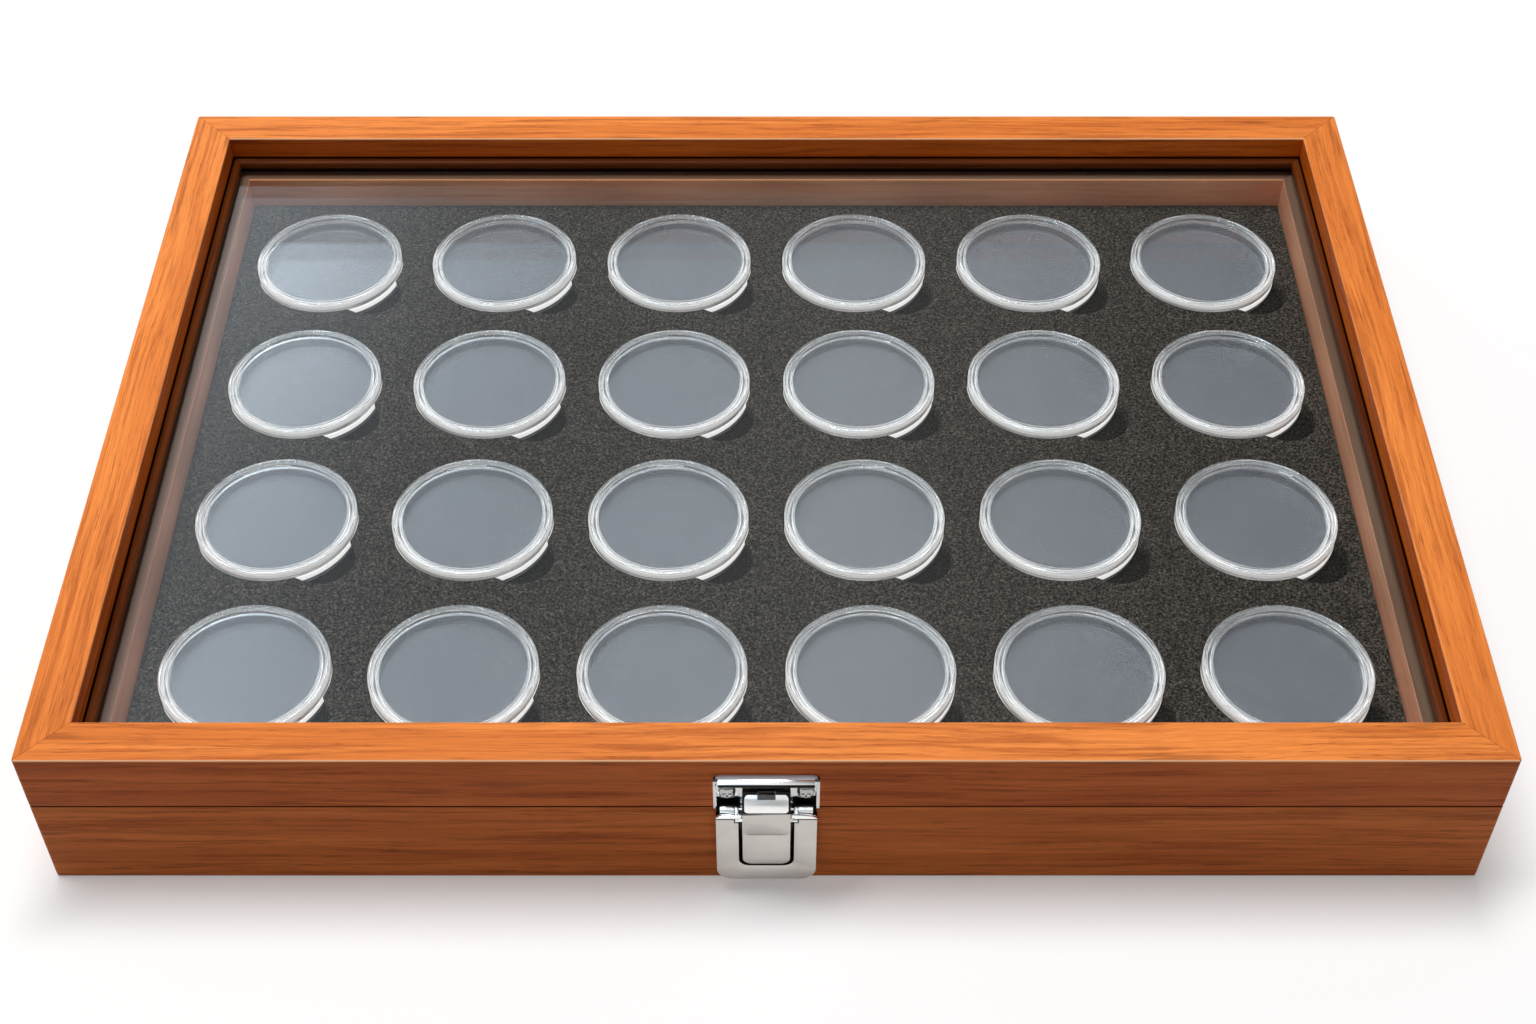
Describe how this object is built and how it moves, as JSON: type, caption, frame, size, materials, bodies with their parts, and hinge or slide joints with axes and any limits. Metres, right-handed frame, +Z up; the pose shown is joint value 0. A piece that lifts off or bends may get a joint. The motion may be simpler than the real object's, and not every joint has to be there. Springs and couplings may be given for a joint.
{
  "type": "coin display case",
  "caption": "Shallow wooden display case with a hinged glass lid, a front draw latch and a foam bed of round coin capsules.",
  "frame": {"origin": "middle of the underside of the case, on the surface it rests on", "axes": "+X along the long side to the right, +Y from the latch at the front to the hinges at the back, +Z up"},
  "size_m": [0.375, 0.2763, 0.05],
  "materials": {
    "veneer": "reddish cherry-brown veneer, satin lacquer",
    "panel": "plain plywood, stained",
    "trim": "dark stained strip, satin",
    "foam": "matte charcoal foam with a fine grain",
    "glass": "clear float glass",
    "hinge_steel": "nickel-plated steel, satin",
    "latch_chrome": "bright nickel plate with satin faces",
    "screw_chrome": "bright nickel plate",
    "capsule": "clear polished plastic"
  },
  "bodies": {
    "base": {"base_rail_front": "veneer", "base_rail_back": "veneer", "base_rail_left": "veneer", "base_rail_right": "veneer", "bottom_panel": "panel", "liner_front": "trim", "liner_back": "trim", "liner_left": "trim", "liner_right": "trim", "foam_base": "foam", "foam_insert": "foam", "hinge_left_base_leaf": "hinge_steel", "hinge_right_base_leaf": "hinge_steel", "hinge_left_pin": "hinge_steel", "hinge_right_pin": "hinge_steel", "hinge_base_screws": "hinge_steel", "latch_mount": "latch_chrome", "latch_mount_screws": "screw_chrome", "latch_lever_pin": "latch_chrome"},
    "lid": {"lid_rail_front": "veneer", "lid_rail_back": "veneer", "lid_rail_left": "veneer", "lid_rail_right": "veneer", "lid_glass": "glass", "bead_front": "trim", "bead_back": "trim", "bead_left": "trim", "bead_right": "trim", "hinge_left_lid_leaf": "hinge_steel", "hinge_right_lid_leaf": "hinge_steel", "hinge_lid_screws": "hinge_steel", "keeper_plate": "latch_chrome", "keeper_screws": "screw_chrome"},
    "latch_lever": {"latch_lever": "latch_chrome", "latch_claw_pin": "latch_chrome"},
    "latch_claw": {"latch_claw": "latch_chrome"},
    "capsule_1_1": {"capsule_1_1": "capsule"},
    "capsule_1_2": {"capsule_1_2": "capsule"},
    "capsule_1_3": {"capsule_1_3": "capsule"},
    "capsule_1_4": {"capsule_1_4": "capsule"},
    "capsule_1_5": {"capsule_1_5": "capsule"},
    "capsule_1_6": {"capsule_1_6": "capsule"},
    "capsule_2_1": {"capsule_2_1": "capsule"},
    "capsule_2_2": {"capsule_2_2": "capsule"},
    "capsule_2_3": {"capsule_2_3": "capsule"},
    "capsule_2_4": {"capsule_2_4": "capsule"},
    "capsule_2_5": {"capsule_2_5": "capsule"},
    "capsule_2_6": {"capsule_2_6": "capsule"},
    "capsule_3_1": {"capsule_3_1": "capsule"},
    "capsule_3_2": {"capsule_3_2": "capsule"},
    "capsule_3_3": {"capsule_3_3": "capsule"},
    "capsule_3_4": {"capsule_3_4": "capsule"},
    "capsule_3_5": {"capsule_3_5": "capsule"},
    "capsule_3_6": {"capsule_3_6": "capsule"},
    "capsule_4_1": {"capsule_4_1": "capsule"},
    "capsule_4_2": {"capsule_4_2": "capsule"},
    "capsule_4_3": {"capsule_4_3": "capsule"},
    "capsule_4_4": {"capsule_4_4": "capsule"},
    "capsule_4_5": {"capsule_4_5": "capsule"},
    "capsule_4_6": {"capsule_4_6": "capsule"}
  },
  "joints": [
    {"name": "lid_hinge", "type": "hinge", "parent": "base", "child": "lid", "pos_m": [0, 0.1358, 0.0309], "axis": [-1, 0, 0], "range_deg": [0, 100]},
    {"name": "latch_lever_hinge", "type": "hinge", "parent": "base", "child": "latch_lever", "pos_m": [0, -0.1346, 0.0322], "axis": [-1, 0, 0], "range_deg": [0, 80]},
    {"name": "latch_claw_hinge", "type": "hinge", "parent": "latch_lever", "child": "latch_claw", "pos_m": [0, -0.1364, 0.03], "axis": [-1, 0, 0], "range_deg": [-96, 0]},
    {"name": "capsule_1_1_lift", "type": "slide", "parent": "base", "child": "capsule_1_1", "axis": [0, 0, 1], "range_m": [0, 0.008]},
    {"name": "capsule_1_2_lift", "type": "slide", "parent": "base", "child": "capsule_1_2", "axis": [0, 0, 1], "range_m": [0, 0.008]},
    {"name": "capsule_1_3_lift", "type": "slide", "parent": "base", "child": "capsule_1_3", "axis": [0, 0, 1], "range_m": [0, 0.008]},
    {"name": "capsule_1_4_lift", "type": "slide", "parent": "base", "child": "capsule_1_4", "axis": [0, 0, 1], "range_m": [0, 0.008]},
    {"name": "capsule_1_5_lift", "type": "slide", "parent": "base", "child": "capsule_1_5", "axis": [0, 0, 1], "range_m": [0, 0.008]},
    {"name": "capsule_1_6_lift", "type": "slide", "parent": "base", "child": "capsule_1_6", "axis": [0, 0, 1], "range_m": [0, 0.008]},
    {"name": "capsule_2_1_lift", "type": "slide", "parent": "base", "child": "capsule_2_1", "axis": [0, 0, 1], "range_m": [0, 0.008]},
    {"name": "capsule_2_2_lift", "type": "slide", "parent": "base", "child": "capsule_2_2", "axis": [0, 0, 1], "range_m": [0, 0.008]},
    {"name": "capsule_2_3_lift", "type": "slide", "parent": "base", "child": "capsule_2_3", "axis": [0, 0, 1], "range_m": [0, 0.008]},
    {"name": "capsule_2_4_lift", "type": "slide", "parent": "base", "child": "capsule_2_4", "axis": [0, 0, 1], "range_m": [0, 0.008]},
    {"name": "capsule_2_5_lift", "type": "slide", "parent": "base", "child": "capsule_2_5", "axis": [0, 0, 1], "range_m": [0, 0.008]},
    {"name": "capsule_2_6_lift", "type": "slide", "parent": "base", "child": "capsule_2_6", "axis": [0, 0, 1], "range_m": [0, 0.008]},
    {"name": "capsule_3_1_lift", "type": "slide", "parent": "base", "child": "capsule_3_1", "axis": [0, 0, 1], "range_m": [0, 0.008]},
    {"name": "capsule_3_2_lift", "type": "slide", "parent": "base", "child": "capsule_3_2", "axis": [0, 0, 1], "range_m": [0, 0.008]},
    {"name": "capsule_3_3_lift", "type": "slide", "parent": "base", "child": "capsule_3_3", "axis": [0, 0, 1], "range_m": [0, 0.008]},
    {"name": "capsule_3_4_lift", "type": "slide", "parent": "base", "child": "capsule_3_4", "axis": [0, 0, 1], "range_m": [0, 0.008]},
    {"name": "capsule_3_5_lift", "type": "slide", "parent": "base", "child": "capsule_3_5", "axis": [0, 0, 1], "range_m": [0, 0.008]},
    {"name": "capsule_3_6_lift", "type": "slide", "parent": "base", "child": "capsule_3_6", "axis": [0, 0, 1], "range_m": [0, 0.008]},
    {"name": "capsule_4_1_lift", "type": "slide", "parent": "base", "child": "capsule_4_1", "axis": [0, 0, 1], "range_m": [0, 0.008]},
    {"name": "capsule_4_2_lift", "type": "slide", "parent": "base", "child": "capsule_4_2", "axis": [0, 0, 1], "range_m": [0, 0.008]},
    {"name": "capsule_4_3_lift", "type": "slide", "parent": "base", "child": "capsule_4_3", "axis": [0, 0, 1], "range_m": [0, 0.008]},
    {"name": "capsule_4_4_lift", "type": "slide", "parent": "base", "child": "capsule_4_4", "axis": [0, 0, 1], "range_m": [0, 0.008]},
    {"name": "capsule_4_5_lift", "type": "slide", "parent": "base", "child": "capsule_4_5", "axis": [0, 0, 1], "range_m": [0, 0.008]},
    {"name": "capsule_4_6_lift", "type": "slide", "parent": "base", "child": "capsule_4_6", "axis": [0, 0, 1], "range_m": [0, 0.008]}
  ],
  "couplings": [
    {"joint": "latch_claw_hinge", "follows": "latch_lever_hinge", "ratio": -1.2}
  ]
}
